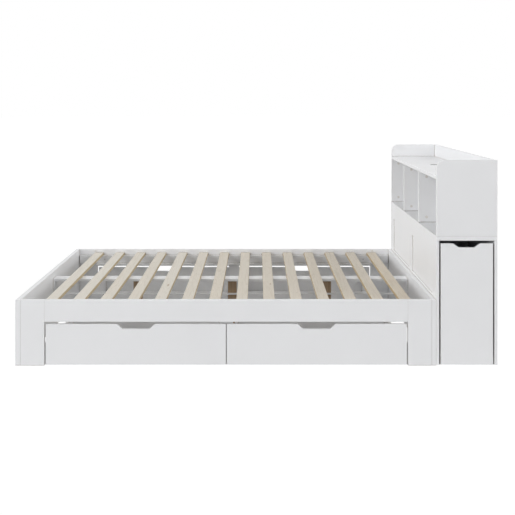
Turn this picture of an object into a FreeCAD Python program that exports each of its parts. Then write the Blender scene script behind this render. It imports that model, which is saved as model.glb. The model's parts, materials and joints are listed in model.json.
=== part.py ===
import FreeCAD, Part
import os

# Platform bed with storage drawers, in millimetres.
# The origin is on the floor, under the middle of the overall box.
# +X points to the headboard, +Y to the bed's left side and +Z up.
# Most of the bed is the same on both sides of its long middle plane (y = 0), so
# places across the bed are given as distances from that plane, outer one first.

Vector = FreeCAD.Vector

RIGHT = -1
LEFT = 1
SIDES = {"right": RIGHT, "left": LEFT}
CLEARANCE_FIT = 0.05
JOINT_GAP = 0.4

# ---- Overall sizes ----
LENGTH = 2413.0
WIDTH = 1600.0
HEIGHT = 1028.0
FOOT_X = -LENGTH / 2
HEAD_X = LENGTH / 2
OUTSIDE = WIDTH / 2

# ---- Storage headboard ----
CABINET_DEPTH = 306.5
CABINET_HEIGHT = 647.0
CABINET_TOP_THICK = 22.0
CABINET_BOARD = 15.0
GLIDE_HEIGHT = 4.0
GLIDE_R = 7.0
GLIDE_INSET = 60.0
CABINET_X = HEAD_X - CABINET_DEPTH
CABINET_TOP_UNDERSIDE = CABINET_HEIGHT - CABINET_TOP_THICK
END_STILE_WIDTH = 107.0
CENTRE_STILE_WIDTH = 104.0
TOP_RAIL_BOTTOM = 545.0
BOTTOM_RAIL_TOP = 339.0
PANEL_RECESS = 7.0
PARTITION_FROM_MIDDLE = 200.0

# ---- Hutch on the headboard ----
HUTCH_BOARD = 18.0
HUTCH_SETBACK = 2.0
HUTCH_CORNER_R = 45.0
HUTCH_RIM = 79.0
HUTCH_FRONT_X = CABINET_X + HUTCH_SETBACK
HUTCH_BOTTOM = CABINET_HEIGHT + JOINT_GAP
HUTCH_END_GAP = 1.2
DIVIDER_FOOT_GAP = 3.0
DIVIDER_BOTTOM = CABINET_HEIGHT + DIVIDER_FOOT_GAP
HUTCH_BACK_FRONT_X = HEAD_X - HUTCH_BOARD
HUTCH_SHELF_TOP = HEIGHT - HUTCH_RIM
HUTCH_SHELF_UNDERSIDE = HUTCH_SHELF_TOP - HUTCH_BOARD
HUTCH_INSIDE = OUTSIDE - HUTCH_BOARD
DIVIDER_FROM_MIDDLE = HUTCH_INSIDE / 3

# ---- Bed frame ----
FRAME_TOP = 329.0
FOOTBOARD_THICK = 26.0
HEAD_END_THICK = 21.0
HEAD_END_GAP = 0.8
SIDE_THICK = 22.0
RAIL_BOTTOM = 219.0
CORNER_LEG_WIDTH = 120.0
FOOTBOARD_INSIDE_X = FOOT_X + FOOTBOARD_THICK
HEAD_END_OUTSIDE_X = CABINET_X - JOINT_GAP
HEAD_END_INSIDE_X = HEAD_END_OUTSIDE_X - HEAD_END_THICK
SIDE_INSIDE = OUTSIDE - SIDE_THICK
DRAWER_MIDDLE_X = -150.2
MID_LEG_WIDTH = 66.0

# ---- Slatted base ----
SLAT_COUNT = 14
SLAT_PITCH = 139.3
SLAT_WIDTH = 58.0
SLAT_THICK = 19.0
SLAT_MIDDLE_X = -143.5
SLAT_END_GAP = 2.0
LEDGER_TOP = 290.0
LEDGER_END_GAP = 5.0
LEDGER_THICK = 20.0
GUIDE_STRIP_DEPTH = 50.0
GUIDE_STRIP_BOTTOM = 232.5
GUIDE_STRIP_THICK = 8.0
BEAM_WIDTH = 90.0
BEAM_THICK = 15.0
CENTRE_LEG_SIZE = 50.0
CENTRE_LEG_PITCH = 550.0
CENTRE_LEG_MIDDLE_X = -141.0
STRETCHER_DEPTH = 22.0
STRETCHER_BOTTOM = 198.0
STRETCHER_THICK = 7.0
CLEAT_HEIGHT = 50.0
CLEAT_THICK = 12.0
LEDGER_BOTTOM = GUIDE_STRIP_BOTTOM + GUIDE_STRIP_THICK
BEAM_UNDERSIDE = LEDGER_TOP - BEAM_THICK
SLAT_TOP = LEDGER_TOP + SLAT_THICK

# ---- Fasteners ----
SCREW_HEAD_R = 4.5
SCREW_HEAD_HEIGHT = 2.5
SCREW_SHANK_R = 2.0
SCREW_LENGTH = 35.0
CAM_COVER_R = 7.5
CAM_COVER_THICK = 1.0
CAM_FROM_EDGE = 45.0
CAM_FROM_SHELF = 30.0

# ---- Power outlet in the hutch's shelf ----
OUTLET_SIZE = (100.0, 30.0, 40.0)
OUTLET_PROUD = 0.3
OUTLET_FROM_FRONT = 116.0
OUTLET_CORNER_R = 5.0
OUTLET_CUT_CLEARANCE = 0.3
OUTLET_X = HUTCH_FRONT_X + OUTLET_FROM_FRONT + OUTLET_SIZE[0] / 2

# ---- Drawers under the long sides ----
DRAWER_WIDTH = 900.75
DRAWER_GAP = 4.0
DRAWER_FRONT_THICK = 15.0
DRAWER_FRONT_BOTTOM = 5.0
DRAWER_FRONT_TOP = 208.0
DRAWER_BOX_INSET = 33.0
DRAWER_BOX_TOP = 139.0
DRAWER_BOARD = 15.0
DRAWER_BOTTOM_THICK = 12.0
DRAWER_DEPTH = 480.0
DRAWER_CASTER_INSET = 60.0
DRAWER_NOTCH = {"top": 191.0, "bottom": 138.0, "depth": 25.0}

# ---- Pull-out cupboards in the headboard's ends ----
PULLOUT_GAP = 7.5
PULLOUT_FRONT_BOTTOM = 5.0
PULLOUT_FRONT_TOP = 610.8
PULLOUT_RACK_INSET = 6.0
PULLOUT_RACK_TOP = 604.0
PULLOUT_BOARD = 15.0
PULLOUT_SHELF_THICK = 12.0
PULLOUT_SHELF_HEIGHTS = (222.0, 411.0)
PULLOUT_DEPTH = 575.0
PULLOUT_CASTER_INSET = 40.0
PULLOUT_NOTCH = {"top": 136.0, "bottom": 79.0, "depth": 20.0}

# ---- Handle notches' rounding ----
NOTCH_TOP_R = 5.0
NOTCH_BOTTOM_R = 8.0

# ---- Casters under drawers and cupboards ----
BOX_UNDERSIDE = 33.0
WHEEL_R = 14.5
WHEEL_WIDTH = 14.0
WHEEL_HUB_R = 6.0
WHEEL_RIM_R = 11.0
WHEEL_WEB_THICK = 6.0
WHEEL_CHAMFER = 1.0
AXLE_R = 3.0
BRACKET_PLATE = (30.0, 40.0, 2.0)
CHEEK_THICK = 2.0
CHEEK_GAP = 1.0
CHEEK_HALF_WIDTH = 7.0


def board(x, y, z):
    """A rectangular board from its (low, high) pair along each axis."""
    corner = Vector(x[0], y[0], z[0])
    return Part.makeBox(x[1] - x[0], y[1] - y[0], z[1] - z[0], corner)


def about(middle, size):
    """The (low, high) pair of a size centred on a place."""
    return (middle - size / 2, middle + size / 2)


def across(side, outer, inner):
    """The (low, high) y pair between two distances from the middle plane, on one side."""
    return tuple(sorted((side * outer, side * inner)))


def both_sides(x, outer, inner, z):
    """The same board on the right and on the left."""
    return [board(x, across(side, outer, inner), z) for side in SIDES.values()]


def save(name, solids):
    """Write one node's solids to its STEP file."""
    shape = solids[0] if len(solids) == 1 else Part.makeCompound(solids)
    shape.exportStep(f"parts/{name}.step")


def round_edges(solid, radius, places):
    """Round the edges along Y that stand at the given (x, z) places."""
    chosen = []
    for edge in solid.Edges:
        points = [vertex.Point for vertex in edge.Vertexes]
        if len(points) != 2 or abs(points[0].y - points[1].y) < 1:
            continue
        for x, z in places:
            if all(abs(point.x - x) < 0.01 and abs(point.z - z) < 0.01 for point in points):
                chosen.append(edge)
    return solid.makeFillet(radius, chosen)


def notched_front(x, y, z, notch):
    """A front board whose top edge dips in the middle as a finger pull with rounded corners."""
    middle = (x[0] + x[1]) / 2
    low = z[1] - notch["depth"]
    top_corners = [(middle + sign * notch["top"] / 2, z[1]) for sign in (-1, 1)]
    bottom_corners = [(middle + sign * notch["bottom"] / 2, low) for sign in (-1, 1)]
    outline = [(x[0], z[0]), (x[0], z[1]), top_corners[0], bottom_corners[0]]
    outline += [bottom_corners[1], top_corners[1], (x[1], z[1]), (x[1], z[0])]
    points = [Vector(px, y[0], pz) for px, pz in outline]
    face = Part.Face(Part.makePolygon(points + points[:1]))
    front = face.extrude(Vector(0, y[1] - y[0], 0))
    front = round_edges(front, NOTCH_BOTTOM_R, bottom_corners)
    return round_edges(front, NOTCH_TOP_R, top_corners)


# ---- Bed frame ----

def frame_boards():
    """The two end boards, the side rails and the boards that stand as legs."""
    rail_x = (FOOTBOARD_INSIDE_X + CORNER_LEG_WIDTH, HEAD_END_INSIDE_X - CORNER_LEG_WIDTH)
    full_height = (0, FRAME_TOP)
    full_width = (-OUTSIDE, OUTSIDE)
    save("footboard", [board((FOOT_X, FOOTBOARD_INSIDE_X), full_width, full_height)])
    head_end_x = (HEAD_END_INSIDE_X, HEAD_END_OUTSIDE_X)
    save("head_end_board", [board(head_end_x, full_width, full_height)])
    save("side_rails", both_sides(rail_x, OUTSIDE, SIDE_INSIDE, (RAIL_BOTTOM, FRAME_TOP)))
    foot_leg_x = (FOOTBOARD_INSIDE_X + JOINT_GAP, rail_x[0] - JOINT_GAP)
    head_leg_x = (rail_x[1] + JOINT_GAP, HEAD_END_INSIDE_X - HEAD_END_GAP)
    foot_legs = both_sides(foot_leg_x, OUTSIDE, SIDE_INSIDE, full_height)
    head_legs = both_sides(head_leg_x, OUTSIDE, SIDE_INSIDE, full_height)
    save("corner_legs", foot_legs + head_legs)
    mid_leg_x = about(DRAWER_MIDDLE_X, MID_LEG_WIDTH)
    mid_leg_inner = SIDE_INSIDE - SIDE_THICK
    save("mid_legs", both_sides(mid_leg_x, SIDE_INSIDE, mid_leg_inner, (0, LEDGER_TOP)))


def rail_strips():
    """The ledgers under the slats' ends, and the thin guide strips low on the rails."""
    leg_x = about(DRAWER_MIDDLE_X, MID_LEG_WIDTH)
    ledger_inner = SIDE_INSIDE - LEDGER_THICK
    ledger_z = (LEDGER_BOTTOM, LEDGER_TOP)
    foot_x = (FOOTBOARD_INSIDE_X + LEDGER_END_GAP, leg_x[0])
    head_x = (leg_x[1], HEAD_END_INSIDE_X - LEDGER_END_GAP)
    foot_half = both_sides(foot_x, SIDE_INSIDE, ledger_inner, ledger_z)
    head_half = both_sides(head_x, SIDE_INSIDE, ledger_inner, ledger_z)
    save("slat_ledgers", foot_half + head_half)

    strip_x = (FOOTBOARD_INSIDE_X + CORNER_LEG_WIDTH, HEAD_END_INSIDE_X - CORNER_LEG_WIDTH)
    strip_z = (GUIDE_STRIP_BOTTOM, LEDGER_BOTTOM)
    strips = both_sides(strip_x, SIDE_INSIDE, SIDE_INSIDE - GUIDE_STRIP_DEPTH, strip_z)
    notches = both_sides(leg_x, SIDE_INSIDE, SIDE_INSIDE - SIDE_THICK, strip_z)
    save("rail_guide_strips", [strip.cut(notch) for strip, notch in zip(strips, notches)])


def centre_support():
    """The beam under the middle of the slats, with its end cleats, its legs and their stretcher."""
    inside_x = (FOOTBOARD_INSIDE_X, HEAD_END_INSIDE_X)
    leg_y = about(0, CENTRE_LEG_SIZE)
    leg_z = (0, BEAM_UNDERSIDE)
    save("centre_beam", [board(inside_x, about(0, BEAM_WIDTH), (BEAM_UNDERSIDE, LEDGER_TOP))])
    leg_places = [CENTRE_LEG_MIDDLE_X + step * CENTRE_LEG_PITCH for step in (-1, 0, 1)]
    save("centre_legs", [board(about(x, CENTRE_LEG_SIZE), leg_y, leg_z) for x in leg_places])
    foot_cleat_x = (inside_x[0], inside_x[0] + CLEAT_THICK)
    head_cleat_x = (inside_x[1] - CLEAT_THICK, inside_x[1])
    cleat_z = (BEAM_UNDERSIDE - CLEAT_HEIGHT, BEAM_UNDERSIDE)
    save("beam_end_cleats", [board(x, about(0, BEAM_WIDTH), cleat_z) for x in (foot_cleat_x, head_cleat_x)])
    stretcher_y = (leg_y[0] - STRETCHER_DEPTH, leg_y[0])
    stretcher_z = (STRETCHER_BOTTOM, STRETCHER_BOTTOM + STRETCHER_THICK)
    save("leg_stretcher", [board(inside_x, stretcher_y, stretcher_z)])


def slatted_base():
    """The row of slats, and the countersunk screws that hold their ends to the ledgers."""
    slats = []
    screws = []
    first = SLAT_MIDDLE_X - SLAT_PITCH * (SLAT_COUNT - 1) / 2
    half_length = SIDE_INSIDE - SLAT_END_GAP
    screw_y = SIDE_INSIDE - LEDGER_THICK / 2
    for number in range(SLAT_COUNT):
        x = first + number * SLAT_PITCH
        slat_y = (-half_length, half_length)
        slats.append(board(about(x, SLAT_WIDTH), slat_y, (LEDGER_TOP, SLAT_TOP)))
        for side in SIDES.values():
            foot = Vector(x, side * screw_y, SLAT_TOP - SCREW_LENGTH)
            shank = Part.makeCylinder(SCREW_SHANK_R, SCREW_LENGTH, foot)
            head_place = Vector(x, side * screw_y, SLAT_TOP - SCREW_HEAD_HEIGHT)
            head = Part.makeCone(SCREW_SHANK_R, SCREW_HEAD_R, SCREW_HEAD_HEIGHT, head_place)
            screws.append(shank.fuse(head))
    save("slats", slats)
    save("slat_screws", screws)


# ---- Storage headboard ----

def headboard_cabinet():
    """The cabinet's panelled front, top, back, the walls behind its pull-outs, and its glides."""
    front_x = (CABINET_X, CABINET_X + CABINET_BOARD)
    back_x = (HEAD_X - CABINET_BOARD, HEAD_X)
    height = (GLIDE_HEIGHT, CABINET_TOP_UNDERSIDE)
    full_width = (-OUTSIDE, OUTSIDE)

    window_outer = OUTSIDE - END_STILE_WIDTH
    window_inner = CENTRE_STILE_WIDTH / 2
    window_z = (BOTTOM_RAIL_TOP, TOP_RAIL_BOTTOM)
    front = board(front_x, full_width, height)
    for window in both_sides(front_x, window_outer, window_inner, window_z):
        front = front.cut(window)
    save("headboard_front_frame", [front])
    inset_x = (front_x[0] + PANEL_RECESS, front_x[1])
    save("headboard_inset_panels", both_sides(inset_x, window_outer, window_inner, window_z))

    top_z = (CABINET_TOP_UNDERSIDE, CABINET_HEIGHT)
    save("headboard_top", [board((CABINET_X, HEAD_X), full_width, top_z)])
    save("headboard_back", [board(back_x, full_width, height)])
    wall_outer = PARTITION_FROM_MIDDLE + CABINET_BOARD
    wall_x = (front_x[1], back_x[0])
    save("bay_partitions", both_sides(wall_x, wall_outer, PARTITION_FROM_MIDDLE, height))

    glide_y = [-OUTSIDE + GLIDE_INSET, 0, OUTSIDE - GLIDE_INSET]
    glide_x = [sum(front_x) / 2, sum(back_x) / 2]
    places = [Vector(x, y, 0) for x in glide_x for y in glide_y]
    save("cabinet_glides", [Part.makeCylinder(GLIDE_R, GLIDE_HEIGHT, place) for place in places])


def rounded_block(clearance, z):
    """The outlet's outline, widened by a clearance, as a block with rounded upright edges."""
    outline_x = about(OUTLET_X, OUTLET_SIZE[0] + 2 * clearance)
    outline_y = about(0, OUTLET_SIZE[1] + 2 * clearance)
    block = board(outline_x, outline_y, z)
    upright = [edge for edge in block.Edges if abs(edge.Vertexes[0].Z - edge.Vertexes[1].Z) > 1]
    return block.makeFillet(OUTLET_CORNER_R + clearance, upright)


def hutch():
    """The open three-bay shelf unit on the cabinet."""
    inside_y = (-HUTCH_INSIDE + HUTCH_END_GAP, HUTCH_INSIDE - HUTCH_END_GAP)
    height = (HUTCH_BOTTOM, HEIGHT)
    sides = both_sides((HUTCH_FRONT_X, HEAD_X), OUTSIDE, HUTCH_INSIDE, height)
    corner = [(HUTCH_FRONT_X, HEIGHT)]
    save("hutch_sides", [round_edges(side, HUTCH_CORNER_R, corner) for side in sides])
    save("hutch_back", [board((HUTCH_BACK_FRONT_X, HEAD_X), inside_y, height)])

    shelf_x = (HUTCH_FRONT_X, HUTCH_BACK_FRONT_X)
    shelf_z = (HUTCH_SHELF_UNDERSIDE, HUTCH_SHELF_TOP)
    outlet_cut = rounded_block(OUTLET_CUT_CLEARANCE, shelf_z)
    save("hutch_shelf", [board(shelf_x, inside_y, shelf_z).cut(outlet_cut)])

    divider_z = (DIVIDER_BOTTOM, HUTCH_SHELF_UNDERSIDE)
    divider_places = [side * DIVIDER_FROM_MIDDLE for side in SIDES.values()]
    dividers = [board(shelf_x, about(y, HUTCH_BOARD), divider_z) for y in divider_places]
    save("hutch_dividers", dividers)


def cam_covers():
    """The round caps over the cam locks, on one face of each upright of the hutch."""
    covers = []
    faces = [side * DIVIDER_FROM_MIDDLE - HUTCH_BOARD / 2 for side in SIDES.values()]
    faces.append(HUTCH_INSIDE)
    starts = [face - CAM_COVER_THICK for face in faces] + [-HUTCH_INSIDE]
    for start in starts:
        for x in (HUTCH_FRONT_X + CAM_FROM_EDGE, HUTCH_BACK_FRONT_X - CAM_FROM_EDGE):
            for z in (CABINET_HEIGHT + CAM_FROM_SHELF, HUTCH_SHELF_UNDERSIDE - CAM_FROM_SHELF):
                place = Vector(x, start, z)
                covers.append(Part.makeCylinder(CAM_COVER_R, CAM_COVER_THICK, place, Vector(0, 1, 0)))
    save("cam_covers", covers)


def power_outlet():
    """The power outlet: a block with rounded corners that sits flush in the shelf."""
    outlet_top = HUTCH_SHELF_TOP + OUTLET_PROUD
    save("power_outlet", [rounded_block(0, (outlet_top - OUTLET_SIZE[2], outlet_top))])


# ---- Casters ----

def caster_bracket(x, y):
    """A plate under the box, two rounded cheeks and the axle riveted between them."""
    plate_z = (BOX_UNDERSIDE - BRACKET_PLATE[2], BOX_UNDERSIDE)
    bracket = board(about(x, BRACKET_PLATE[0]), about(y, BRACKET_PLATE[1]), plate_z)
    along_x = Vector(1, 0, 0)
    cheek_offset = WHEEL_WIDTH / 2 + CHEEK_GAP + CHEEK_THICK / 2
    for sign in (-1, 1):
        cheek_x = about(x + sign * cheek_offset, CHEEK_THICK)
        cheek_z = (WHEEL_R, plate_z[0])
        cheek = board(cheek_x, about(y, 2 * CHEEK_HALF_WIDTH), cheek_z)
        end_place = Vector(cheek_x[0], y, WHEEL_R)
        round_end = Part.makeCylinder(CHEEK_HALF_WIDTH, CHEEK_THICK, end_place, along_x)
        bracket = bracket.fuse(cheek).fuse(round_end)
    axle_length = 2 * cheek_offset + CHEEK_THICK
    axle_place = Vector(x - axle_length / 2, y, WHEEL_R)
    axle = Part.makeCylinder(AXLE_R, axle_length, axle_place, along_x)
    return bracket.fuse(axle).removeSplitter()


def caster_wheel(x, y):
    """A roller with a hub, a thinner web and a rim with chamfered edges."""
    half = WHEEL_WIDTH / 2
    web = WHEEL_WEB_THICK / 2
    bore = AXLE_R + CLEARANCE_FIT
    half_profile = [(half, bore), (half, WHEEL_HUB_R), (web, WHEEL_HUB_R), (web, WHEEL_RIM_R)]
    half_profile += [(half, WHEEL_RIM_R), (half, WHEEL_R - WHEEL_CHAMFER)]
    half_profile += [(half - WHEEL_CHAMFER, WHEEL_R)]
    profile = half_profile + [(-px, radius) for px, radius in reversed(half_profile)]
    points = [Vector(x + px, y, WHEEL_R + radius) for px, radius in profile]
    face = Part.Face(Part.makePolygon(points + points[:1]))
    return face.revolve(Vector(x, y, WHEEL_R), Vector(1, 0, 0), 360)


def casters(name, side, places_x, outer, inner):
    """Four fixed casters: the brackets are one node, and each wheel pair is its own node."""
    rows = {"outer": side * outer, "inner": side * inner}
    brackets = [caster_bracket(x, y) for y in rows.values() for x in places_x]
    save(f"{name}_casters", brackets)
    for row, y in rows.items():
        save(f"{name}_wheels_{row}", [caster_wheel(x, y) for x in places_x])


# ---- Drawers and pull-out cupboards ----

def drawer(name, side, x):
    """One drawer: its front, three box boards, bottom and casters."""
    front_y = across(side, OUTSIDE, OUTSIDE - DRAWER_FRONT_THICK)
    front_z = (DRAWER_FRONT_BOTTOM, DRAWER_FRONT_TOP)
    save(f"{name}_front", [notched_front(x, front_y, front_z, DRAWER_NOTCH)])

    box_x = (x[0] + DRAWER_BOX_INSET, x[1] - DRAWER_BOX_INSET)
    inside_x = (box_x[0] + DRAWER_BOARD, box_x[1] - DRAWER_BOARD)
    box_z = (BOX_UNDERSIDE, DRAWER_BOX_TOP)
    box_outer = OUTSIDE - DRAWER_FRONT_THICK
    box_inner = OUTSIDE - DRAWER_DEPTH
    side_y = across(side, box_outer, box_inner)
    back_y = across(side, box_inner + DRAWER_BOARD, box_inner)
    low_side = board((box_x[0], inside_x[0]), side_y, box_z)
    high_side = board((inside_x[1], box_x[1]), side_y, box_z)
    save(f"{name}_box", [low_side, high_side, board(inside_x, back_y, box_z)])
    bottom_y = across(side, box_outer, box_inner + DRAWER_BOARD)
    bottom_z = (BOX_UNDERSIDE, BOX_UNDERSIDE + DRAWER_BOTTOM_THICK)
    save(f"{name}_bottom", [board(inside_x, bottom_y, bottom_z)])

    inset = DRAWER_CASTER_INSET
    wheel_x = (inside_x[0] + inset, inside_x[1] - inset)
    casters(name, side, wheel_x, box_outer - inset, box_inner + inset)


def pullout(name, side):
    """One pull-out cupboard: its front, its rack of back board and shelves, and casters."""
    x = (CABINET_X + CABINET_BOARD + PULLOUT_GAP, HEAD_X - CABINET_BOARD - PULLOUT_GAP)
    front_y = across(side, OUTSIDE, OUTSIDE - PULLOUT_BOARD)
    front_z = (PULLOUT_FRONT_BOTTOM, PULLOUT_FRONT_TOP)
    save(f"{name}_front", [notched_front(x, front_y, front_z, PULLOUT_NOTCH)])

    rack_x = (x[0] + PULLOUT_RACK_INSET, x[1] - PULLOUT_RACK_INSET)
    rack_outer = OUTSIDE - PULLOUT_BOARD
    rack_inner = OUTSIDE - PULLOUT_DEPTH
    back_y = across(side, rack_inner + PULLOUT_BOARD, rack_inner)
    rack = [board(rack_x, back_y, (BOX_UNDERSIDE, PULLOUT_RACK_TOP))]
    shelf_y = across(side, rack_outer, rack_inner + PULLOUT_BOARD)
    rack.append(board(rack_x, shelf_y, (BOX_UNDERSIDE, BOX_UNDERSIDE + PULLOUT_BOARD)))
    for z in PULLOUT_SHELF_HEIGHTS:
        rack.append(board(rack_x, shelf_y, (z, z + PULLOUT_SHELF_THICK)))
    save(f"{name}_rack", rack)

    inset = PULLOUT_CASTER_INSET
    wheel_x = (rack_x[0] + inset, rack_x[1] - inset)
    casters(name, side, wheel_x, rack_outer - inset, rack_inner + inset)


os.makedirs("parts", exist_ok=True)
frame_boards()
rail_strips()
centre_support()
slatted_base()
headboard_cabinet()
hutch()
cam_covers()
power_outlet()
foot_drawer_x = (DRAWER_MIDDLE_X - DRAWER_GAP / 2 - DRAWER_WIDTH, DRAWER_MIDDLE_X - DRAWER_GAP / 2)
head_drawer_x = (DRAWER_MIDDLE_X + DRAWER_GAP / 2, DRAWER_MIDDLE_X + DRAWER_GAP / 2 + DRAWER_WIDTH)
for side_name, side_sign in SIDES.items():
    drawer(f"drawer_{side_name}_foot", side_sign, foot_drawer_x)
    drawer(f"drawer_{side_name}_head", side_sign, head_drawer_x)
    pullout(f"pullout_{side_name}", side_sign)
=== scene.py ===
import json
import math

import bmesh
import bpy
from mathutils import Matrix, Vector

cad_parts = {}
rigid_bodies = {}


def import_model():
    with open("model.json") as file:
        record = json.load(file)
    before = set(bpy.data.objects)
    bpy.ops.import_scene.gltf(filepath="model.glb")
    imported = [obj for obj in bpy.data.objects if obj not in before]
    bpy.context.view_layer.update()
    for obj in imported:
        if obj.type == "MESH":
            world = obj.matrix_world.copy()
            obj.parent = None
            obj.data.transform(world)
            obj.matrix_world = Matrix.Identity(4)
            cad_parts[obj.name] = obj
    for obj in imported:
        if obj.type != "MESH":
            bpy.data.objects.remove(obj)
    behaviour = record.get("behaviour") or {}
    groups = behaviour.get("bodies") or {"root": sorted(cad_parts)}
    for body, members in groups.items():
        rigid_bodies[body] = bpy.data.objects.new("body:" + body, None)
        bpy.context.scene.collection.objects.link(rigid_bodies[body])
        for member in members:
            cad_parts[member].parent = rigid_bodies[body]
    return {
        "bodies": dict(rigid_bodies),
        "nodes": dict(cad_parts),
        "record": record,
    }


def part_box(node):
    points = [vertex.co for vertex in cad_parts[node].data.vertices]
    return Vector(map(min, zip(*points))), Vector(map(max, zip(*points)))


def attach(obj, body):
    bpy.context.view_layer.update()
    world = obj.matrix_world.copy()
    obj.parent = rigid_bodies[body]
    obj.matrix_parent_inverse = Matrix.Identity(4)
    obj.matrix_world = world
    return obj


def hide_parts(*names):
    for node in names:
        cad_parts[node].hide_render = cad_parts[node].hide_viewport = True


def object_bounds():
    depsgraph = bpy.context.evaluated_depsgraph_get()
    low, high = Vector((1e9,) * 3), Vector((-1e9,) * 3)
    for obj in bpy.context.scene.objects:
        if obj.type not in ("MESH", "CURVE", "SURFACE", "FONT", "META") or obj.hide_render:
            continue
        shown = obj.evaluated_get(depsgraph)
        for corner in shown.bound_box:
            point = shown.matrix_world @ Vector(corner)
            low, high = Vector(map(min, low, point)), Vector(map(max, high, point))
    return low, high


# The looks of a platform bed with storage drawers. Metres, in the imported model's frame:
# +X points to the headboard, +Y to the bed's left side and +Z up.

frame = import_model()
CAD_LOW, CAD_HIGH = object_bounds()
MM = 0.001


def is_unit(body):
    """Whether a body is a drawer or a pull-out cupboard, rather than the frame or a wheel pair."""
    return body.startswith(("drawer", "pullout")) and "rollers" not in body


UNITS = [body for body in frame["bodies"] if is_unit(body)]


# ---- Camera ----

CAMERA_DISTANCE = 4.73
CAMERA_SIDE_STEP = 0.006
CAMERA_HEIGHT = 1.341
CAMERA_LENS = 66.1
SENSOR_WIDTH = 36.0
HORIZON_ABOVE_MIDDLE = 0.3105


def make_camera():
    """A level camera square to the bed's right side, its frame shifted down to the bed."""
    data = bpy.data.cameras.new("camera")
    data.lens = CAMERA_LENS
    data.sensor_width = SENSOR_WIDTH
    data.shift_y = -HORIZON_ABOVE_MIDDLE
    camera = bpy.data.objects.new("camera", data)
    camera.location = (CAMERA_SIDE_STEP, CAD_LOW.y - CAMERA_DISTANCE, CAMERA_HEIGHT)
    camera.rotation_euler = (math.radians(90), 0, 0)
    bpy.context.scene.collection.objects.link(camera)
    bpy.context.scene.camera = camera


# ---- Node trees ----

class Shader:
    """Builds one material's node tree with short calls."""

    def __init__(self, name):
        self.material = bpy.data.materials.new(name)
        self.material.use_nodes = True
        self.tree = self.material.node_tree
        self.tree.nodes.clear()
        self.surface = self.node("BsdfPrincipled")
        output = self.node("OutputMaterial")
        self.tree.links.new(self.surface.outputs["BSDF"], output.inputs["Surface"])
        self.coordinates = self.node("TexCoord").outputs
        self.place = self.coordinates["Object"]

    def node(self, kind, inputs=None, **settings):
        """A node with its settings, and its inputs linked or set by name or number."""
        made = self.tree.nodes.new("ShaderNode" + kind)
        for key, value in settings.items():
            setattr(made, key, value)
        for key, value in (inputs or {}).items():
            self.feed(made.inputs[key], value)
        return made

    def feed(self, socket, value):
        """Link a socket, or set its value."""
        if isinstance(value, bpy.types.NodeSocket):
            self.tree.links.new(value, socket)
        else:
            socket.default_value = value

    def math(self, operation, first, second=0.0, clamp=False):
        """One step of arithmetic."""
        return self.node("Math", {0: first, 1: second}, operation=operation, use_clamp=clamp).outputs[0]

    def stretched(self, scale, vector=None):
        """The place scaled by a different amount along each axis."""
        return self.node("Mapping", {"Vector": vector or self.place, "Scale": scale}).outputs[0]

    def noise(self, vector, scale, detail=3.0, roughness=0.5, distortion=0.0):
        """A noise value from 0 to 1."""
        inputs = {"Vector": vector, "Scale": scale, "Detail": detail, "Roughness": roughness}
        inputs["Distortion"] = distortion
        return self.node("TexNoise", inputs).outputs["Fac"]

    def ramp(self, value, stops):
        """A colour or grey level read off a ramp of (place, colour) stops."""
        made = self.node("ValToRGB", {"Fac": value})
        elements = made.color_ramp.elements
        while len(elements) < len(stops):
            elements.new(1.0)
        for element, (place, colour) in zip(elements, stops):
            element.position = place
            element.color = colour if len(colour) == 4 else (*colour, 1.0)
        return made.outputs["Color"]

    def mix(self, amount, first, second, blend="MIX"):
        """Two colours mixed."""
        made = self.node("Mix", data_type="RGBA", blend_type=blend)
        self.feed(made.inputs[0], amount)
        self.feed(made.inputs[6], first if not isinstance(first, tuple) else (*first, 1.0))
        self.feed(made.inputs[7], second if not isinstance(second, tuple) else (*second, 1.0))
        return made.outputs[2]

    def spread(self, value, low, high):
        """A value from 0 to 1 brought between low and high."""
        made = self.node("MapRange", {"Value": value, "To Min": low, "To Max": high})
        return made.outputs[0]

    def glow(self, strength):
        """A white glow of a fixed strength, or of one that a socket gives."""
        self.surface.inputs["Emission Color"].default_value = (1.0, 1.0, 1.0, 1.0)
        self.feed(self.surface.inputs["Emission Strength"], strength)

    def bump(self, height, strength, distance):
        """Adds a bump from a height."""
        inputs = {"Height": height, "Strength": strength, "Distance": distance}
        self.feed(self.surface.inputs["Normal"], self.node("Bump", inputs).outputs["Normal"])


# ---- Materials ----

BLACK = (0.0, 0.0, 0.0)
WHITE = (1.0, 1.0, 1.0)
# Painted shade in the paint's joints and inner corners: how far the ambient occlusion reading looks, how
# strongly it darkens, and the brown it darkens towards.
CREASE_SHADE_REACH = 10 * MM
CREASE_SHADE_STRENGTH = 0.7
CREASE_SHADE_TONE = (0.40, 0.34, 0.28)
PAINT_TONES = ((0.824, 0.829, 0.841), (0.850, 0.855, 0.867))
PAINT_ROUGHNESS = (0.34, 0.48)


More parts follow.
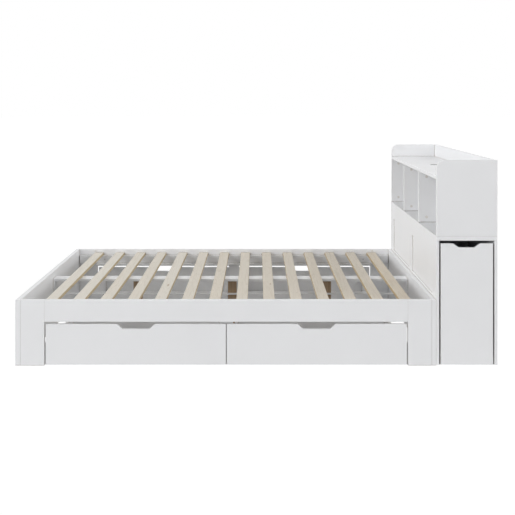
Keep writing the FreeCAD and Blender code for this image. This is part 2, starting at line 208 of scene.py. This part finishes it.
def white_paint():
    """Satin lacquer on board: a faint orange peel, hardly any change of tone, and painted shade:
    a brown darkening in the joints and inner corners, where ambient occlusion finds them closed in."""
    made = Shader("white_paint")
    cloud = made.noise(made.place, 2.6, detail=4.0)
    colour = made.ramp(cloud, [(0.3, PAINT_TONES[0]), (0.7, PAINT_TONES[1])])
    # Painted shade: where ambient occlusion finds a joint or inner corner closed in, the colour is
    # darkened towards a brown.
    openness = made.node("AmbientOcclusion", {"Distance": CREASE_SHADE_REACH}, samples=6).outputs["AO"]
    crease_shade = made.ramp(openness, [(0.50, WHITE), (0.70, BLACK)])
    colour = made.mix(made.math("MULTIPLY", crease_shade, CREASE_SHADE_STRENGTH), colour, CREASE_SHADE_TONE)
    made.feed(made.surface.inputs["Base Color"], colour)
    smear = made.noise(made.place, 14.0, detail=5.0, roughness=0.6)
    made.feed(made.surface.inputs["Roughness"], made.spread(smear, *PAINT_ROUGHNESS))
    peel = made.noise(made.place, 520.0, detail=2.0)
    swell = made.noise(made.place, 60.0, detail=2.0)
    made.bump(made.math("ADD", peel, made.math("MULTIPLY", swell, 0.5)), 0.12, 0.3 * MM)
    made.surface.inputs["Coat Weight"].default_value = 0.3
    made.surface.inputs["Coat Roughness"].default_value = 0.25
    return made.material


BOARD_SHIFT = (9.0, 9.0, 9.0)
RINGS_PER_BAND = 9.0
RING_STOPS = [(0.0, BLACK), (0.7, (0.3, 0.3, 0.3)), (0.93, WHITE), (1.0, BLACK)]
TONE_WANDER = 0.18
PORE_TONE = (0.36, 0.28, 0.18)
KNOT_TONE = (0.45, 0.34, 0.22)
KNOT_STOPS = [(0.0, WHITE), (0.035, (0.6, 0.6, 0.6)), (0.06, BLACK)]


def timber(name, tones, upright_tint, rows, along):
    """Planed timber: growth bands, fibres, pores and small knots, each board from its own plank.

    Tones are the pale and dark colour at the first board and at the last one; the third argument
    is what the colour is multiplied by on the upright faces, which makes them darker; rows gives
    where boards start, their pitch and number along X; along is the grain's axis."""
    made = Shader(name)
    place_x = made.node("SeparateXYZ", {"Vector": made.place}).outputs[0]
    from_start = made.math("SUBTRACT", place_x, rows["start"])
    number = made.math("FLOOR", made.math("DIVIDE", from_start, rows["pitch"]))
    chance = made.node("TexWhiteNoise", {"W": number}, noise_dimensions="1D").outputs
    shift = made.node("VectorMath", {0: chance["Color"], 1: BOARD_SHIFT}, operation="MULTIPLY")
    moved = made.node("VectorMath", {0: made.place, 1: shift.outputs[0]}, operation="ADD").outputs[0]

    def drawn_out(across, lengthwise):
        scale = [across] * 3
        scale[along] = lengthwise
        return made.stretched(scale, moved)

    fibres = made.noise(drawn_out(190.0, 3.0), 3.0, detail=6.0, roughness=0.65)
    bands = made.noise(drawn_out(13.0, 0.5), 2.0, detail=2.0, distortion=0.8)
    rings = made.math("FRACT", made.math("MULTIPLY", bands, RINGS_PER_BAND))
    late_wood = made.ramp(rings, RING_STOPS)
    grain = made.mix(0.4, fibres, late_wood)
    first_tone = made.ramp(grain, [(0.2, tones[0][0]), (0.85, tones[0][1])])
    last_tone = made.ramp(grain, [(0.2, tones[1][0]), (0.85, tones[1][1])])
    progress = made.math("DIVIDE", number, float(rows["count"]))
    wander = made.spread(chance["Value"], -TONE_WANDER, TONE_WANDER)
    tone = made.mix(made.math("ADD", progress, wander, clamp=True), first_tone, last_tone)

    pores = made.noise(drawn_out(900.0, 22.0), 1.0, detail=1.0)
    pore_mask = made.ramp(pores, [(0.66, BLACK), (0.74, WHITE)])
    tone = made.mix(made.math("MULTIPLY", pore_mask, 0.35), tone, PORE_TONE)
    cells = made.node("TexVoronoi", {"Vector": drawn_out(9.0, 1.4), "Scale": 1.0})
    knots = made.ramp(cells.outputs["Distance"], KNOT_STOPS)
    tone = made.mix(knots, tone, KNOT_TONE)
    # The upright faces are made darker: there the colour is multiplied by the given tint.
    upright = made.node("SeparateXYZ", {"Vector": made.coordinates["Normal"]}).outputs[2]
    on_side = made.ramp(made.math("ABSOLUTE", upright), [(0.35, WHITE), (0.75, BLACK)])
    tone = made.mix(on_side, tone, made.mix(1.0, tone, upright_tint, "MULTIPLY"))
    made.feed(made.surface.inputs["Base Color"], tone)
    made.feed(made.surface.inputs["Roughness"], made.spread(fibres, 0.55, 0.78))
    made.surface.inputs["Specular IOR Level"].default_value = 0.3
    made.bump(made.math("SUBTRACT", fibres, made.math("MULTIPLY", pore_mask, 0.4)), 0.3, 0.35 * MM)
    return made.material


def metal(name, tone, rough):
    """Plated steel with a soft, uneven shine and fine rolling marks."""
    made = Shader(name)
    patches = made.noise(made.place, 160.0, detail=5.0, roughness=0.65)
    dark = tuple(part * 0.82 for part in tone)
    made.feed(made.surface.inputs["Base Color"], made.ramp(patches, [(0.3, dark), (0.7, tone)]))
    made.feed(made.surface.inputs["Roughness"], made.spread(patches, rough - 0.08, rough + 0.1))
    made.surface.inputs["Metallic"].default_value = 1.0
    marks = made.noise(made.stretched((2600.0, 240.0, 2600.0)), 1.0, detail=2.0)
    made.bump(marks, 0.1, 0.1 * MM)
    return made.material


def plastic(name, tone, rough):
    """Moulded plastic with a fine spark-eroded texture."""
    made = Shader(name)
    patches = made.noise(made.place, 90.0, detail=4.0)
    dark = tuple(part * 0.88 for part in tone)
    made.feed(made.surface.inputs["Base Color"], made.ramp(patches, [(0.35, dark), (0.65, tone)]))
    made.feed(made.surface.inputs["Roughness"], made.spread(patches, rough - 0.05, rough + 0.07))
    made.bump(made.noise(made.place, 2200.0, detail=2.0), 0.18, 0.08 * MM)
    return made.material


def matt_floor(name, grey):
    """The shader of a plain matt floor, with a hardly visible mottle."""
    made = Shader(name)
    patches = made.noise(made.place, 1.5, detail=2.0)
    dark = (grey * 0.97,) * 3
    made.feed(made.surface.inputs["Base Color"], made.ramp(patches, [(0.3, dark), (0.7, (grey,) * 3)]))
    made.surface.inputs["Roughness"].default_value = 0.9
    made.surface.inputs["Specular IOR Level"].default_value = 0.1
    return made


def ground():
    """The floor right under the object: a little light comes up from it."""
    made = matt_floor("studio_ground", GROUND_GREY)
    made.glow(GROUND_GLOW)
    return made.material


def lit_floor():
    """The floor as it is seen: lit from within, so that shadows on it stay faint, but with painted
    shade under the drawers and a darker painted shade under the headboard."""
    made = matt_floor("studio_floor", FLOOR_GREY)
    place = made.node("SeparateXYZ", {"Vector": made.place}).outputs
    off_middle = made.math("ABSOLUTE", place[1])
    ends = {"Value": off_middle, "From Min": SHADE_Y[0], "From Max": SHADE_Y[1]}
    under_drawers = made.node("MapRange", ends, interpolation_type="SMOOTHSTEP")
    edges = [made.math("LESS_THAN", off_middle, CAD_HIGH.y - SHADE_SETBACK)]
    edges.append(made.math("LESS_THAN", place[0], CAD_HIGH.x))
    edges.append(made.math("GREATER_THAN", place[0], CAD_LOW.x))
    inside = made.math("MULTIPLY", edges[0], made.math("MULTIPLY", edges[1], edges[2]))
    under_cabinet = made.math("GREATER_THAN", place[0], SHADE_FROM_X)
    shade = made.math("MULTIPLY", under_drawers.outputs[0], DRAWER_SHADE)
    shade = made.math("MULTIPLY", made.math("MAXIMUM", shade, under_cabinet), inside)
    made.glow(made.spread(shade, FLOOR_GLOW, 0.0))
    return made.material


def backdrop_white():
    """The white that surrounds the studio."""
    made = Shader("studio_backdrop")
    made.surface.inputs["Base Color"].default_value = (0.0, 0.0, 0.0, 1.0)
    made.surface.inputs["Specular IOR Level"].default_value = 0.0
    made.glow(1.0)
    return made.material


# ---- Studio ----

# The floor that is seen (the glow, its paint's grey, and where shade is painted on it), and the
# unseen floor that light bounces off, around the object and under it.
FLOOR_GLOW = 0.97
FLOOR_GREY = 0.25
BOUNCE_GREY = 0.50
GROUND_GREY = 0.30
GROUND_GLOW = 0.19
SKY_STRENGTH = 0.35
STUDIO_SIZE = 60.0
FLOOR_DROP = 0.3 * MM
SHADE_FROM_X = 0.905
SHADE_Y = (0.30, 0.38)
SHADE_SETBACK = 0.024
DRAWER_SHADE = 0.76
SOFT_SUN_SPREAD = math.radians(70)
# Where each soft sun stands, seen from the bed.
SOFT_SUNS = {
    "from_the_foot": {"towards": (-0.90, -0.40, 0.18), "strength": 2.7},
    "from_the_head": {"towards": (0.87, -0.25, 0.40), "strength": 1.85},
}
FRONT_LAMP = {"place": (-3.5, -6.0, 1.5), "size": 3.0, "power": 30.0}


def stage_piece(name, mesh, material):
    """One piece of the studio."""
    mesh.materials.append(material)
    piece = bpy.data.objects.new(name, mesh)
    bpy.context.scene.collection.objects.link(piece)
    return piece


def seen_only(piece):
    """This piece is seen, directly or as a reflection, and no diffuse light comes from it."""
    piece.visible_diffuse = False
    piece.visible_transmission = False
    piece.visible_shadow = False


def level_sheet():
    """A wide level sheet at height 0."""
    shape = bmesh.new()
    bmesh.ops.create_grid(shape, x_segments=1, y_segments=1, size=STUDIO_SIZE)
    return shape


def mark_ground(shape, low, high):
    """Cuts the sheet along the object's four sides, and gives what is inside them material 1."""
    for axis in range(2):
        for edge_place in (low[axis], high[axis]):
            point = Vector((0, 0, 0))
            point[axis] = edge_place
            normal = Vector((axis == 0, axis == 1, 0))
            everything = shape.verts[:] + shape.edges[:] + shape.faces[:]
            bmesh.ops.bisect_plane(shape, geom=everything, plane_co=point, plane_no=normal)
    for face in shape.faces:
        face.material_index = int(is_between(face.calc_center_median(), low, high))
    return shape


def is_between(point, low, high):
    """Whether a point lies between two corners, seen from above."""
    return low[0] < point.x < high[0] and low[1] < point.y < high[1]


def lamp(name, kind, energy, towards):
    """A lamp that stands in the given direction from the object, and faces it."""
    data = bpy.data.lights.new(name, kind)
    data.energy = energy
    light = bpy.data.objects.new(name, data)
    light.rotation_euler = towards.to_track_quat("Z", "Y").to_euler()
    bpy.context.scene.collection.objects.link(light)
    return light


def make_studio():
    """A white room: what is seen of its floor and walls, and what lights the object."""
    floor = stage_piece("studio_floor", mesh_of("studio_floor", level_sheet()), lit_floor())
    floor.location.z = CAD_LOW.z - FLOOR_DROP
    seen_only(floor)
    bounce_mesh = mesh_of("studio_bounce", mark_ground(level_sheet(), CAD_LOW, CAD_HIGH))
    bounce_paint = matt_floor("studio_bounce", BOUNCE_GREY).material
    bounce = stage_piece("studio_bounce", bounce_mesh, bounce_paint)
    bounce_mesh.materials.append(ground())
    bounce.location.z = CAD_LOW.z - FLOOR_DROP
    bounce.visible_camera = False

    dome = bmesh.new()
    bmesh.ops.create_uvsphere(dome, u_segments=48, v_segments=24, radius=STUDIO_SIZE)
    seen_only(stage_piece("studio_backdrop", mesh_of("studio_backdrop", dome), backdrop_white()))

    world = bpy.data.worlds.new("studio_sky")
    world.use_nodes = True
    sky = world.node_tree.nodes["Background"]
    sky.inputs["Color"].default_value = (1.0, 1.0, 1.0, 1.0)
    sky.inputs["Strength"].default_value = SKY_STRENGTH
    bpy.context.scene.world = world

    for name, sun in SOFT_SUNS.items():
        light = lamp(name, "SUN", sun["strength"], Vector(sun["towards"]))
        light.data.angle = SOFT_SUN_SPREAD
    middle = (CAD_LOW + CAD_HIGH) / 2
    place = Vector(FRONT_LAMP["place"])
    light = lamp("from_the_front", "AREA", FRONT_LAMP["power"], place - middle)
    light.data.size = FRONT_LAMP["size"]
    light.location = place
    bpy.context.scene.view_settings.view_transform = "Standard"


# ---- Reading the frame ----

def solids_of(node):
    """The (low, high) box of each separate solid in a CAD node, in a steady order."""
    mesh = bmesh.new()
    mesh.from_mesh(frame["nodes"][node].data)
    bmesh.ops.remove_doubles(mesh, verts=mesh.verts, dist=WELD_REACH)
    seen = set()
    boxes = []
    for start in mesh.verts:
        if start in seen:
            continue
        group = [start]
        seen.add(start)
        for vertex in group:
            for edge in vertex.link_edges:
                other = edge.other_vert(vertex)
                if other not in seen:
                    seen.add(other)
                    group.append(other)
        low = Vector(min(v.co[axis] for v in group) for axis in range(3))
        high = Vector(max(v.co[axis] for v in group) for axis in range(3))
        boxes.append((low, high))
    mesh.free()
    return sorted(boxes, key=lambda pair: tuple(round(value, 4) for value in pair[0]))


# ---- Shaping new pieces ----

FACING = {
    "up": Matrix.Identity(4),
    "down": Matrix.Rotation(math.radians(180), 4, "X"),
    "right": Matrix.Rotation(math.radians(90), 4, "X"),
    "left": Matrix.Rotation(math.radians(-90), 4, "X"),
    "foot": Matrix.Rotation(math.radians(-90), 4, "Y"),
    "head": Matrix.Rotation(math.radians(90), 4, "Y"),
}


def turned(profile, steps=40):
    """A shape turned about Z from (radius, height) points, which start and end on the axis."""
    shape = bmesh.new()
    rings = []
    for radius, height in profile:
        angles = [2 * math.pi * step / steps for step in range(steps if radius else 1)]
        ring = [(radius * math.cos(angle), radius * math.sin(angle), height) for angle in angles]
        rings.append([shape.verts.new(place) for place in ring])
    for first, second in zip(rings, rings[1:]):
        for step in range(steps):
            corners = [first[step % len(first)], first[(step + 1) % steps % len(first)]]
            corners += [second[(step + 1) % steps % len(second)], second[step % len(second)]]
            shape.faces.new(list(dict.fromkeys(corners)))
    bmesh.ops.recalc_face_normals(shape, faces=shape.faces)
    return shape


def prism(outline, low, high):
    """A shape with a flat outline of (x, y) points, from one height to another."""
    shape = bmesh.new()
    rings = [[shape.verts.new((x, y, z)) for x, y in outline] for z in (low, high)]
    for ring in rings:
        shape.faces.new(ring)
    for step in range(len(outline)):
        after = (step + 1) % len(outline)
        shape.faces.new([rings[0][step], rings[0][after], rings[1][after], rings[1][step]])
    bmesh.ops.recalc_face_normals(shape, faces=shape.faces)
    return shape


def rounded_outline(width, depth, radius, steps=8):
    """The points of a rectangle with rounded corners, about the origin."""
    points = []
    for number, (sign_x, sign_y) in enumerate(((1, 1), (-1, 1), (-1, -1), (1, -1))):
        middle = Vector((sign_x * (width / 2 - radius), sign_y * (depth / 2 - radius)))
        for step in range(steps + 1):
            angle = math.radians(90) * (number + step / steps)
            points.append((middle.x + radius * math.cos(angle), middle.y + radius * math.sin(angle)))
    return points


def cross_outline(arm, half_width):
    """The points of a cross with four equal arms."""
    quarter = [(arm, -half_width), (arm, half_width), (half_width, half_width)]
    points = []
    for turns in range(4):
        for x, y in quarter:
            for _ in range(turns):
                x, y = -y, x
            points.append((x, y))
    return points


def at(shape, x=0.0, y=0.0, z=0.0):
    """A shape moved to a place."""
    bmesh.ops.translate(shape, verts=shape.verts, vec=(x, y, z))
    return shape


def mesh_of(name, shape):
    """A finished shape as a mesh."""
    mesh = bpy.data.meshes.new(name)
    shape.to_mesh(mesh)
    shape.free()
    return mesh


def carved(name, body, cutters):
    """A body's mesh with the cutters' shapes taken away."""
    piece = bpy.data.objects.new(name, mesh_of(name, body))
    bpy.context.scene.collection.objects.link(piece)
    tools = []
    for cutter in cutters:
        tool = bpy.data.objects.new("cutter", mesh_of("cutter", cutter))
        bpy.context.scene.collection.objects.link(tool)
        tools.append(tool)
        cut = piece.modifiers.new("cut", "BOOLEAN")
        cut.operation = "DIFFERENCE"
        cut.solver = "EXACT"
        cut.object = tool
    bpy.context.view_layer.update()
    seen = piece.evaluated_get(bpy.context.evaluated_depsgraph_get())
    mesh = bpy.data.meshes.new_from_object(seen)
    for used in tools + [piece]:
        bpy.data.objects.remove(used)
    mesh.name = name
    return mesh


def copies(name, mesh, places):
    """One mesh that holds a copy of another at each place, given as matrices."""
    shape = bmesh.new()
    for place in places:
        one = mesh.copy()
        one.transform(place)
        shape.from_mesh(one)
        bpy.data.meshes.remove(one)
    return mesh_of(name, shape)


SMOOTH_UNDER = math.radians(35)
EASED_OVER = math.radians(40)
EASING_SEGMENTS = 3


def add_piece(name, mesh, finish, body, edge, replaced=()):
    """A new piece in a material, which rides a body; its sharp edges are eased."""
    mesh.materials.clear()
    mesh.materials.append(materials[finish])
    for face in mesh.polygons:
        face.use_smooth = True
    mesh.set_sharp_from_angle(angle=SMOOTH_UNDER)
    piece = bpy.data.objects.new(name, mesh)
    bpy.context.scene.collection.objects.link(piece)
    ease_edges(piece, edge)
    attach(piece, body)
    if replaced:
        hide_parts(*replaced)
    return piece


def ease_edges(piece, width):
    """Bevels a piece's sharp edges."""
    bevel = piece.modifiers.new("eased_edges", "BEVEL")
    bevel.width = width
    bevel.segments = EASING_SEGMENTS
    bevel.limit_method = "ANGLE"
    bevel.angle_limit = EASED_OVER
    bevel.harden_normals = True


# ---- CAD boards: eased edges and finishes ----

WELD_REACH = 0.01 * MM
EASED_EDGES = {
    "white_paint": 1.1 * MM,
    "slat_timber": 2.0 * MM,
    "raw_timber": 2.0 * MM,
    "zinc_steel": 0.25 * MM,
    "grey_plastic": 0.5 * MM,
    "black_plastic": 0.5 * MM,
}


def finish_cad_nodes():
    """Each CAD node gets its slot's material, and its sharp edges are eased."""
    for subpart in frame["record"]["subparts"]:
        node = frame["nodes"][subpart["node"]]
        slot = subpart["material_slot"]
        node.data.materials.clear()
        node.data.materials.append(materials[slot])
        weld = node.modifiers.new("weld", "WELD")
        weld.merge_threshold = WELD_REACH
        ease_edges(node, EASED_EDGES[slot])


def rows_of(node):
    """Where a node's row of boards starts along X, with their pitch and number; the start is a
    little before the first board, so that no board is split between two numbers."""
    boxes = solids_of(node)
    pitch = boxes[1][0].x - boxes[0][0].x
    return {"start": boxes[0][0].x - pitch / 4, "pitch": pitch, "count": len(boxes)}


# ---- Small fittings ----

def facing(place, direction):
    """The place of a fitting that faces a direction."""
    return Matrix.Translation(place) @ FACING[direction]


# How far a cutter reaches past the face that it cuts.
ABOVE_FACE = 1.0 * MM
SCREW_HEAD_R = 4.5 * MM
SCREW_SHANK_R = 2.0 * MM
SCREW_RIM = 0.12 * MM
SCREW_PROUD = 0.15 * MM
SCREW_EDGE = 0.08 * MM
SLAT_SCREW_LENGTH = 34 * MM
LEDGER_SCREW_LENGTH = 18 * MM
BOX_SCREW_LENGTH = 30 * MM
BOX_SCREW_HEAD_R = 3.6 * MM


def screw_mesh(name, head_r, length):
    """A countersunk screw with a slightly domed head and a cross recess, its head's rim at z = 0."""
    shank_r = SCREW_SHANK_R
    proud = SCREW_PROUD
    cone = head_r - shank_r
    profile = [(0, -length), (shank_r * 0.5, -length + shank_r), (shank_r, -length + 2 * shank_r)]
    profile += [(shank_r, -cone), (head_r * 0.97, -SCREW_RIM), (head_r, 0), (head_r * 0.8, proud * 0.7)]
    profile += [(head_r * 0.4, proud), (0, proud)]
    arm = head_r * 0.58
    top = proud + ABOVE_FACE
    recess = prism(cross_outline(arm, arm * 0.2), -head_r * 0.35, top)
    core = prism(rounded_outline(arm * 0.8, arm * 0.8, arm * 0.3, 3), -head_r * 0.5, top)
    return carved(name, turned(profile), [recess, core])


def slat_screws():
    """A countersunk screw in each end of each slat."""
    screw = screw_mesh("slat_screw", SCREW_HEAD_R, SLAT_SCREW_LENGTH)
    boxes = solids_of("slat_screws")
    tops = [Vector(((low.x + high.x) / 2, (low.y + high.y) / 2, high.z)) for low, high in boxes]
    mesh = copies("slat_screws_detailed", screw, [facing(top, "up") for top in tops])
    add_piece("slat_screws_detailed", mesh, "zinc_steel", "frame", SCREW_EDGE, ["slat_screws"])


CAP_R = 7.5 * MM
CAP_THICK = 1.0 * MM
CAP_EDGE = 0.06 * MM
SIDE_BOARD_REACH = 30 * MM


def cap_mesh():
    """A cam lock's cap with a raised rim and a shallow cross for the screwdriver, its face at z = 0."""
    radius = CAP_R
    thick = CAP_THICK
    profile = [(0, -thick), (radius, -thick), (radius, -thick * 0.25), (radius * 0.93, 0)]
    profile += [(radius * 0.74, 0), (radius * 0.66, -thick * 0.3), (0, -thick * 0.22)]
    cross = prism(cross_outline(radius * 0.45, radius * 0.09), -thick * 0.55, thick)
    return carved("cam_cap", turned(profile), [cross])


def hutch_caps():
    """The caps in the hutch's uprights: all face right, but for those on the right side board."""
    places = []
    for low, high in solids_of("cam_covers"):
        on_right_side = low.y < CAD_LOW.y + SIDE_BOARD_REACH
        place = (low + high) / 2
        place.y = high.y if on_right_side else low.y
        places.append(facing(place, "left" if on_right_side else "right"))
    mesh = copies("cam_covers_detailed", cap_mesh(), places)
    add_piece("cam_covers_detailed", mesh, "cap_plastic", "frame", CAP_EDGE, ["cam_covers"])


LEG_CAP_FROM_JOINT = 12 * MM
LEG_CAP_BELOW_TOP = 14 * MM
LEG_CAP_PROUD = 0.4 * MM


def leg_caps():
    """A cap on the inner face of each corner leg, beside its joint with the rail."""
    places = []
    for low, high in solids_of("corner_legs"):
        at_foot = low.x < 0
        joint = high.x - LEG_CAP_FROM_JOINT if at_foot else low.x + LEG_CAP_FROM_JOINT
        on_right = low.y < 0
        inner = high.y + LEG_CAP_PROUD if on_right else low.y - LEG_CAP_PROUD
        place = Vector((joint, inner, high.z - LEG_CAP_BELOW_TOP))
        places.append(facing(place, "left" if on_right else "right"))
    mesh = copies("leg_cam_caps", cap_mesh(), places)
    add_piece("leg_cam_caps", mesh, "cap_plastic", "frame", CAP_EDGE)


LEDGER_SCREW_SPACING = 0.30


def ledger_screws():
    """The screws that hold each ledger to its rail, in a row along the ledger's inner face."""
    screw = screw_mesh("ledger_screw", SCREW_HEAD_R, LEDGER_SCREW_LENGTH)
    places = []
    for low, high in solids_of("slat_ledgers"):
        count = round((high.x - low.x) / LEDGER_SCREW_SPACING)
        on_right = low.y < 0
        for number in range(count):
            x = low.x + (high.x - low.x) * (number + 0.5) / count
            place = Vector((x, high.y if on_right else low.y, (low.z + high.z) / 2))
            places.append(facing(place, "left" if on_right else "right"))
    mesh = copies("ledger_screws", screw, places)
    add_piece("ledger_screws", mesh, "zinc_steel", "frame", SCREW_EDGE)


OUTLET_CORNER_R = 5.0 * MM
OUTLET_RIM = 3.0 * MM
OUTLET_RIM_DEPTH = 1.2 * MM
OUTLET_EDGE = 0.35 * MM
SOCKET_PLACES = (-0.31, -0.05)
SOCKET_R = 11.0 * MM
SOCKET_DEPTH = 6.0 * MM
PIN_R = 2.4 * MM
PIN_FROM_MIDDLE = 5.5 * MM
PIN_HOLE_DEPTH = 18.0 * MM
SLOT_PLACE = (0.26, 0.17)
SLOT_SIZE = (12.5 * MM, 5.0 * MM)
SLOT_CORNER_R = 0.8 * MM
SLOT_DEPTH = 9.0 * MM
TONGUE_SIZE = (9.6 * MM, 1.7 * MM)
TONGUE_CORNER_R = 0.4 * MM
TONGUE_BELOW_FACE = 2.0 * MM
TONGUE_EDGE = 0.1 * MM


def round_hole(radius, depth):
    """A cutter for a round hole down from z = 0."""
    return prism(rounded_outline(2 * radius, 2 * radius, radius * 0.98), -depth, 0)


def power_outlet():
    """The outlet in the shelf: a rim, two round sockets with pin holes, and two charging slots.

    The sockets' and slots' places are shares of the outlet's size, from its middle."""
    low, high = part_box("power_outlet")
    size = high - low
    centre = Vector(((low.x + high.x) / 2, (low.y + high.y) / 2, high.z))
    block = prism(rounded_outline(size.x, size.y, OUTLET_CORNER_R), -size.z, 0)
    panel = rounded_outline(size.x - 2 * OUTLET_RIM, size.y - 2 * OUTLET_RIM, OUTLET_CORNER_R - OUTLET_RIM)
    cutters = [prism(panel, -OUTLET_RIM_DEPTH, ABOVE_FACE)]
    for x in [size.x * share for share in SOCKET_PLACES]:
        cutters.append(at(round_hole(SOCKET_R, SOCKET_DEPTH), x))
        for sign in (-1, 1):
            cutters.append(at(round_hole(PIN_R, PIN_HOLE_DEPTH), x + sign * PIN_FROM_MIDDLE))
    slots = [(size.x * SLOT_PLACE[0], sign * size.y * SLOT_PLACE[1]) for sign in (-1, 1)]
    for x, y in slots:
        cutters.append(at(prism(rounded_outline(*SLOT_SIZE, SLOT_CORNER_R), -SLOT_DEPTH, 0), x, y))
    body = carved("power_outlet_body", block, cutters)
    mesh = copies("power_outlet_detailed", body, [Matrix.Translation(centre)])
    add_piece("power_outlet_detailed", mesh, "black_plastic", "frame", OUTLET_EDGE, ["power_outlet"])

    outline = rounded_outline(*TONGUE_SIZE, TONGUE_CORNER_R)
    tongue = mesh_of("tongue", prism(outline, -SLOT_DEPTH, -TONGUE_BELOW_FACE))
    places = [Matrix.Translation(centre + Vector((x, y, 0))) for x, y in slots]
    contacts = copies("outlet_contacts", tongue, places)
    add_piece("outlet_contacts", contacts, "bright_zinc", "frame", TONGUE_EDGE)


FITTING_EDGE = 0.1 * MM
RIVET_R = 3.6 * MM
RIVET_PROUD = 0.9 * MM
RIVET_SUNK = 0.3 * MM
CHEEK_REACH = 3.0 * MM
PLATE_THICK = 2.0 * MM
PLATE_SCREW_R = 2.6 * MM
PLATE_SCREW_PROUD = 1.4 * MM
PLATE_SCREW_SUNK = 0.4 * MM
PLATE_SCREW_CUT_TO = 3.0 * MM
PLATE_SCREW_OFFSET = 14.0 * MM


def rivet_mesh():
    """A domed rivet head, its foot just inside the cheek."""
    profile = [(0, -RIVET_SUNK), (RIVET_R, -RIVET_SUNK), (RIVET_R * 0.92, RIVET_PROUD * 0.6)]
    profile += [(RIVET_R * 0.5, RIVET_PROUD), (0, RIVET_PROUD)]
    return mesh_of("rivet", turned(profile))


def pan_screw_mesh():
    """A pan head with a cross recess, its foot just inside the plate."""
    radius = PLATE_SCREW_R
    proud = PLATE_SCREW_PROUD
    profile = [(0, -PLATE_SCREW_SUNK), (radius, -PLATE_SCREW_SUNK), (radius, proud * 0.35)]
    profile += [(radius * 0.7, proud * 0.85), (0, proud)]
    recess = prism(cross_outline(radius * 0.6, radius * 0.13), proud * 0.4, PLATE_SCREW_CUT_TO)
    return carved("pan_screw", turned(profile), [recess])


def caster_fittings(unit):
    """The riveted ends of a unit's axles, and the screws through its bracket plates."""
    wheel = solids_of(unit + "_wheels_outer")[0]
    axle_height = (wheel[0].z + wheel[1].z) / 2
    axle_half = (wheel[1].x - wheel[0].x) / 2 + CHEEK_REACH
    rivets = []
    screws = []
    for low, high in solids_of(unit + "_casters"):
        middle = (low + high) / 2
        rivets.append(facing(Vector((middle.x - axle_half, middle.y, axle_height)), "foot"))
        rivets.append(facing(Vector((middle.x + axle_half, middle.y, axle_height)), "head"))
        for sign in (-1, 1):
            y = middle.y + sign * PLATE_SCREW_OFFSET
            screws.append(facing(Vector((middle.x, y, high.z - PLATE_THICK)), "down"))
    name = unit + "_axle_rivets"
    add_piece(name, copies(name, rivet_mesh(), rivets), "bright_zinc", unit, FITTING_EDGE)
    name = unit + "_caster_screws"
    add_piece(name, copies(name, pan_screw_mesh(), screws), "bright_zinc", unit, FITTING_EDGE)


BOX_SCREW_HEIGHTS = (0.3, 0.75)
BOX_SCREW_FROM_BACK = 7.5 * MM


def drawer_box_screws(unit):
    """The screws through a drawer's side boards into its back board."""
    screw = screw_mesh("box_screw", BOX_SCREW_HEAD_R, BOX_SCREW_LENGTH)
    low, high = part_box(unit + "_box")
    on_right = low.y < 0
    y = high.y - BOX_SCREW_FROM_BACK if on_right else low.y + BOX_SCREW_FROM_BACK
    places = []
    for part in BOX_SCREW_HEIGHTS:
        z = low.z + (high.z - low.z) * part
        places.append(facing(Vector((low.x, y, z)), "foot"))
        places.append(facing(Vector((high.x, y, z)), "head"))
    name = unit + "_box_screws"
    add_piece(name, copies(name, screw, places), "zinc_steel", unit, SCREW_EDGE)


# ---- The bed's finishes ----

SLAT_TONES = (((0.80, 0.76, 0.68), (0.68, 0.63, 0.54)), ((0.74, 0.665, 0.55), (0.61, 0.53, 0.41)))
# What the slats' and the legs' colour is multiplied by on their upright faces, which makes them darker.
SLAT_UPRIGHT_TINT = (0.70, 0.60, 0.44)
LEG_TONES = (((0.45, 0.33, 0.215), (0.29, 0.19, 0.12)),) * 2
LEG_UPRIGHT_TINT = WHITE

materials = {
    "white_paint": white_paint(),
    "slat_timber": timber("slat_timber", SLAT_TONES, SLAT_UPRIGHT_TINT, rows_of("slats"), 1),
    "raw_timber": timber("raw_timber", LEG_TONES, LEG_UPRIGHT_TINT, rows_of("centre_legs"), 2),
    "zinc_steel": metal("zinc_steel", (0.62, 0.63, 0.64), 0.34),
    "bright_zinc": metal("bright_zinc", (0.74, 0.74, 0.73), 0.26),
    "grey_plastic": plastic("grey_plastic", (0.42, 0.42, 0.43), 0.45),
    "cap_plastic": plastic("cap_plastic", (0.74, 0.715, 0.68), 0.5),
    "black_plastic": plastic("black_plastic", (0.022, 0.022, 0.024), 0.38),
}


# ---- Making the scene ----

make_camera()
make_studio()
finish_cad_nodes()
slat_screws()
hutch_caps()
leg_caps()
ledger_screws()
power_outlet()
for unit in UNITS:
    caster_fittings(unit)
    if unit.startswith("drawer"):
        drawer_box_screws(unit)
